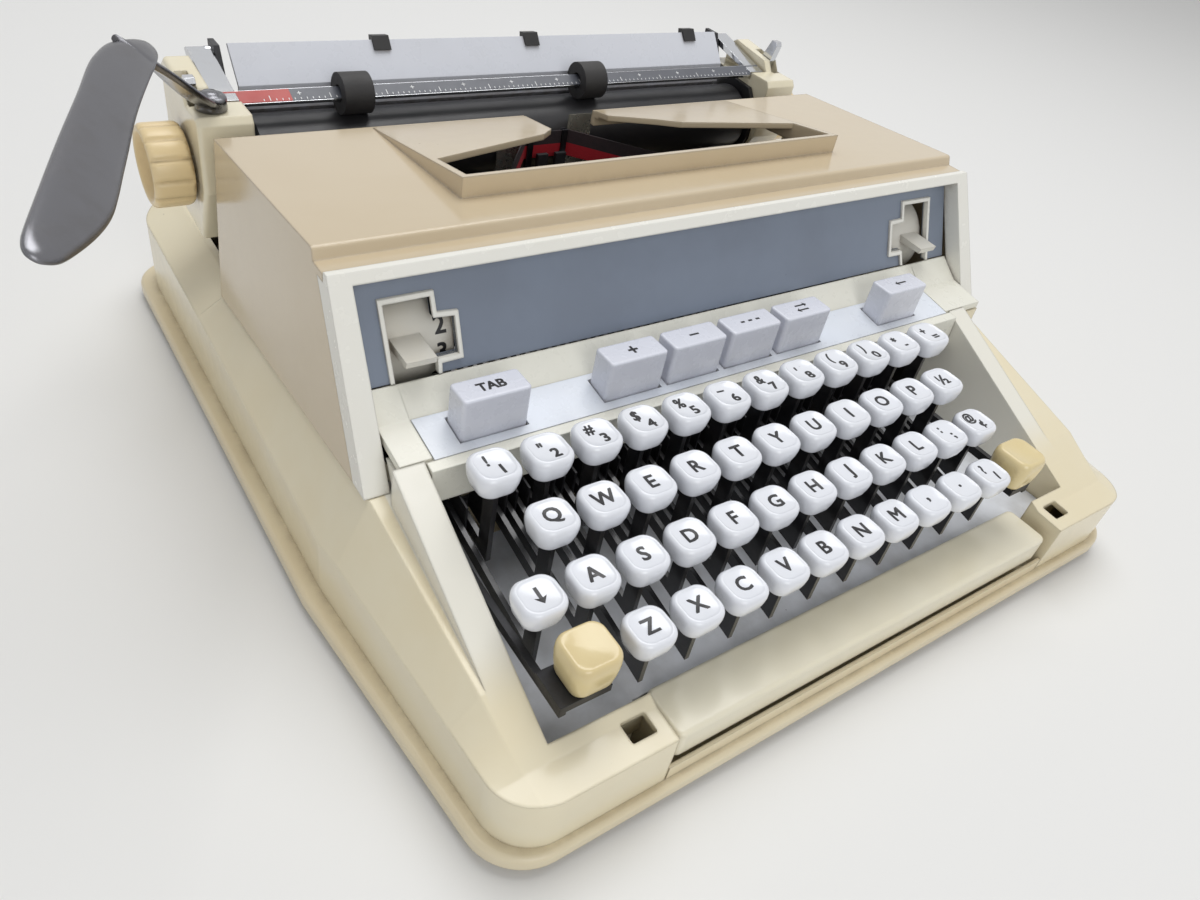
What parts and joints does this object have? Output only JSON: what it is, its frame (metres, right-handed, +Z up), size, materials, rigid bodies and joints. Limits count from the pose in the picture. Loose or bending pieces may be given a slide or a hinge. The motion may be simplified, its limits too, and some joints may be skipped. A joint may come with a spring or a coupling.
{
  "type": "portable typewriter",
  "caption": "Portable manual typewriter: squared plastic body, sliding carriage with platen and return lever, lift-off hood, keys on pivoted levers, type basket and ribbon",
  "frame": {"origin": "on the table, under the middle of the whole machine, return lever included", "axes": "+X to the typist's right, +Y away from the typist, +Z up"},
  "size_m": [0.4122, 0.363, 0.1626],
  "materials": {
    "cream_plastic": "aged cream moulding, fine grain",
    "base_plastic": "tan moulding",
    "hood_plastic": "aged beige moulding, fine grain",
    "frame_plastic": "off-white moulding",
    "panel_metal": "blue-grey satin paint",
    "cover_plastic": "cream moulding",
    "deck_metal": "pale grey paint",
    "white_plate": "white paint",
    "floor_metal": "mid grey paint",
    "rubber": "matt black",
    "platen_rubber": "smooth hard black rubber",
    "steel_screw": "plated",
    "frame_steel": "dark oiled steel",
    "type_steel": "bare steel",
    "chrome": "polished plating",
    "lever_metal": "grey satin metal",
    "key_plastic": "white double-shot moulding with black legends",
    "lever_steel": "black lacquer",
    "shift_plastic": "yellowed white moulding",
    "function_plastic": "white moulding",
    "bar_plastic": "cream moulding",
    "table_metal": "pale grey paint",
    "black_plastic": "black moulding",
    "knob_plastic": "cream ribbed moulding",
    "finger_plastic": "cream moulding",
    "spool_metal": "dark grey",
    "ribbon_fabric": "inked woven ribbon, black over red",
    "clear_plastic": "clear moulded plastic"
  },
  "bodies": {
    "body": {"base_tray": "base_plastic", "rubber_feet": "rubber", "base_screws": "steel_screw", "body_shell": "cream_plastic", "keyboard_deck": "deck_metal", "function_key_plate": "white_plate", "well_floor": "floor_metal", "mechanism_frame": "frame_steel", "key_pivot_rod": "frame_steel", "lever_comb": "frame_steel", "type_guide": "frame_steel", "card_holder": "clear_plastic", "ribbon": "ribbon_fabric", "carriage_rail": "frame_steel", "bell": "chrome"},
    "hood_cover": {"hood": "hood_plastic", "hood_frame": "frame_plastic", "name_panel": "panel_metal"},
    "touch_control": {"touch_lever": "finger_plastic"},
    "ribbon_control": {"ribbon_lever": "finger_plastic"},
    "spool_left": {"ribbon_spool_left": "spool_metal"},
    "spool_right": {"ribbon_spool_right": "spool_metal"},
    "vibrator": {"ribbon_vibrator": "spool_metal"},
    "spring_drum": {"mainspring_drum": "spool_metal"},
    "type_basket": {"type_segment": "type_steel", "typebars": "type_steel"},
    "h_type": {"h_typebar": "type_steel"},
    "h_key_body": {"h_key": "key_plastic"},
    "shift_lock": {"shift_lock_key": "key_plastic"},
    "shift": {"shift_keys": "shift_plastic", "shift_levers": "frame_steel"},
    "space": {"space_bar": "bar_plastic"},
    "carriage": {"carriage_frame": "frame_steel", "left_end_cover": "cover_plastic", "right_end_cover": "cover_plastic", "paper_table": "table_metal", "paper_guides": "black_plastic"},
    "platen_roller": {"platen": "platen_rubber", "platen_shaft": "chrome", "platen_knobs": "knob_plastic"},
    "feed": {"feed_rollers": "rubber"},
    "return": {"return_lever": "lever_metal"},
    "bail": {"paper_bail": "chrome"},
    "bail_roller_pair": {"bail_rollers": "rubber"},
    "line_space": {"line_space_lever": "chrome"},
    "paper_release": {"paper_release_lever": "chrome"},
    "number_row": {"number_row_keys": "key_plastic", "number_row_levers": "lever_steel"},
    "top_row": {"top_row_keys": "key_plastic", "top_row_levers": "lever_steel"},
    "home_row": {"home_row_keys": "key_plastic", "home_row_levers": "lever_steel"},
    "bottom_row": {"bottom_row_keys": "key_plastic", "bottom_row_levers": "lever_steel"},
    "tab_key_body": {"tab_key": "function_plastic"},
    "tab_set_key_body": {"tab_set_key": "function_plastic"},
    "tab_clear_key_body": {"tab_clear_key": "function_plastic"},
    "margin_dash_key_body": {"margin_dash_key": "function_plastic"},
    "margin_release_key_body": {"margin_release_key": "function_plastic"},
    "backspace_key_body": {"backspace_key": "function_plastic"}
  },
  "joints": [
    {"name": "carriage_travel", "type": "slide", "parent": "body", "child": "carriage", "axis": [-1, 0, 0], "range_m": [-0.106, 0.106]},
    {"name": "spring_drum_turn", "type": "hinge", "parent": "body", "child": "spring_drum", "pos_m": [-0.06805, 0.126, 0.023], "axis": [0, 0, 1], "range_deg": [-360, 360]},
    {"name": "platen_turn", "type": "hinge", "parent": "carriage", "child": "platen_roller", "pos_m": [0.02695, 0.1085, 0.0942], "axis": [1, 0, 0], "continuous": true},
    {"name": "feed_roller_turn", "type": "hinge", "parent": "carriage", "child": "feed", "pos_m": [0.02695, 0.0985, 0.07172], "axis": [1, 0, 0], "continuous": true},
    {"name": "return_lever_swing", "type": "hinge", "parent": "carriage", "child": "return", "pos_m": [-0.12555, 0.095, 0.124], "axis": [0, 0, 1], "range_deg": [0, 22], "stiffness_Nm_per_rad": 0.3},
    {"name": "bail_lift", "type": "hinge", "parent": "carriage", "child": "bail", "pos_m": [0.02695, 0.139, 0.127], "axis": [1, 0, 0], "range_deg": [-75, 0]},
    {"name": "bail_roller_turn", "type": "hinge", "parent": "bail", "child": "bail_roller_pair", "pos_m": [0.02695, 0.1055, 0.12023], "axis": [1, 0, 0], "continuous": true},
    {"name": "line_space_select", "type": "hinge", "parent": "carriage", "child": "line_space", "pos_m": [-0.13005, 0.111, 0.1185], "axis": [1, 0, 0], "range_deg": [-12, 12]},
    {"name": "paper_release_pull", "type": "hinge", "parent": "carriage", "child": "paper_release", "pos_m": [0.18395, 0.111, 0.1185], "axis": [1, 0, 0], "range_deg": [0, 20], "stiffness_Nm_per_rad": 0.2},
    {"name": "hood_lift_off", "type": "slide", "parent": "body", "child": "hood_cover", "axis": [0, 0, 1], "range_m": [0, 0.045]},
    {"name": "touch_set", "type": "hinge", "parent": "body", "child": "touch_control", "pos_m": [-0.10475, -0.021, 0.0875], "axis": [1, 0, 0], "range_deg": [-15, 15]},
    {"name": "ribbon_select", "type": "hinge", "parent": "body", "child": "ribbon_control", "pos_m": [0.15395, -0.021, 0.0875], "axis": [1, 0, 0], "range_deg": [-15, 15]},
    {"name": "spool_left_turn", "type": "hinge", "parent": "body", "child": "spool_left", "pos_m": [-0.05205, 0.033, 0.097], "axis": [0, 0, 1], "continuous": true},
    {"name": "spool_right_turn", "type": "hinge", "parent": "body", "child": "spool_right", "pos_m": [0.10595, 0.033, 0.097], "axis": [0, 0, 1], "continuous": true},
    {"name": "number_row_press", "type": "hinge", "parent": "body", "child": "number_row", "pos_m": [0.02695, -0.008, 0.066], "axis": [1, 0, 0], "range_deg": [0, 6.15], "stiffness_Nm_per_rad": 0.6},
    {"name": "top_row_press", "type": "hinge", "parent": "body", "child": "top_row", "pos_m": [0.02695, -0.008, 0.066], "axis": [1, 0, 0], "range_deg": [0, 5.06], "stiffness_Nm_per_rad": 0.6},
    {"name": "home_row_press", "type": "hinge", "parent": "body", "child": "home_row", "pos_m": [0.02695, -0.008, 0.066], "axis": [1, 0, 0], "range_deg": [0, 4.3], "stiffness_Nm_per_rad": 0.6},
    {"name": "bottom_row_press", "type": "hinge", "parent": "body", "child": "bottom_row", "pos_m": [0.02695, -0.008, 0.066], "axis": [1, 0, 0], "range_deg": [0, 3.74], "stiffness_Nm_per_rad": 0.6},
    {"name": "h_key_press", "type": "hinge", "parent": "body", "child": "h_key_body", "pos_m": [0.02695, -0.008, 0.066], "axis": [1, 0, 0], "range_deg": [0, 4.3], "stiffness_Nm_per_rad": 0.6},
    {"name": "h_typebar_swing", "type": "hinge", "parent": "type_basket", "child": "h_type", "pos_m": [0.02695, 0.064, 0.05], "axis": [-1, 0, 0], "range_deg": [0, 117.86]},
    {"name": "vibrator_lift", "type": "slide", "parent": "body", "child": "vibrator", "axis": [0, 0, 1], "range_m": [0, 0.0062]},
    {"name": "shift_press", "type": "hinge", "parent": "body", "child": "shift", "pos_m": [0.02695, -0.012, 0.048], "axis": [1, 0, 0], "range_deg": [0, 3.2], "stiffness_Nm_per_rad": 3},
    {"name": "basket_shift", "type": "slide", "parent": "body", "child": "type_basket", "axis": [0, 0, -1], "range_m": [0, 0.0072]},
    {"name": "shift_lock_press", "type": "hinge", "parent": "body", "child": "shift_lock", "pos_m": [0.02695, -0.008, 0.066], "axis": [1, 0, 0], "range_deg": [0, 2.2], "stiffness_Nm_per_rad": 0.6},
    {"name": "space_bar_press", "type": "hinge", "parent": "body", "child": "space", "pos_m": [0.02695, -0.045, 0.016], "axis": [1, 0, 0], "range_deg": [0, 2.2], "stiffness_Nm_per_rad": 3},
    {"name": "tab_key_press", "type": "slide", "parent": "body", "child": "tab_key_body", "axis": [0, 0, -1], "range_m": [0, 0.004], "stiffness_N_per_m": 250},
    {"name": "tab_set_key_press", "type": "slide", "parent": "body", "child": "tab_set_key_body", "axis": [0, 0, -1], "range_m": [0, 0.004], "stiffness_N_per_m": 250},
    {"name": "tab_clear_key_press", "type": "slide", "parent": "body", "child": "tab_clear_key_body", "axis": [0, 0, -1], "range_m": [0, 0.004], "stiffness_N_per_m": 250},
    {"name": "margin_dash_key_press", "type": "slide", "parent": "body", "child": "margin_dash_key_body", "axis": [0, 0, -1], "range_m": [0, 0.004], "stiffness_N_per_m": 250},
    {"name": "margin_release_key_press", "type": "slide", "parent": "body", "child": "margin_release_key_body", "axis": [0, 0, -1], "range_m": [0, 0.004], "stiffness_N_per_m": 250},
    {"name": "backspace_key_press", "type": "slide", "parent": "body", "child": "backspace_key_body", "axis": [0, 0, -1], "range_m": [0, 0.004], "stiffness_N_per_m": 250}
  ],
  "couplings": [
    {"joint": "spring_drum_turn", "follows": "carriage_travel", "rad_per_m": 58.824},
    {"joint": "feed_roller_turn", "follows": "platen_turn", "ratio": -2.4714},
    {"joint": "spool_right_turn", "follows": "spool_left_turn", "ratio": 1},
    {"joint": "h_typebar_swing", "follows": "h_key_press", "ratio": 27.177},
    {"joint": "vibrator_lift", "follows": "h_key_press", "m_per_rad": 0.07995},
    {"joint": "basket_shift", "follows": "shift_press", "m_per_rad": 0.12533}
  ]
}
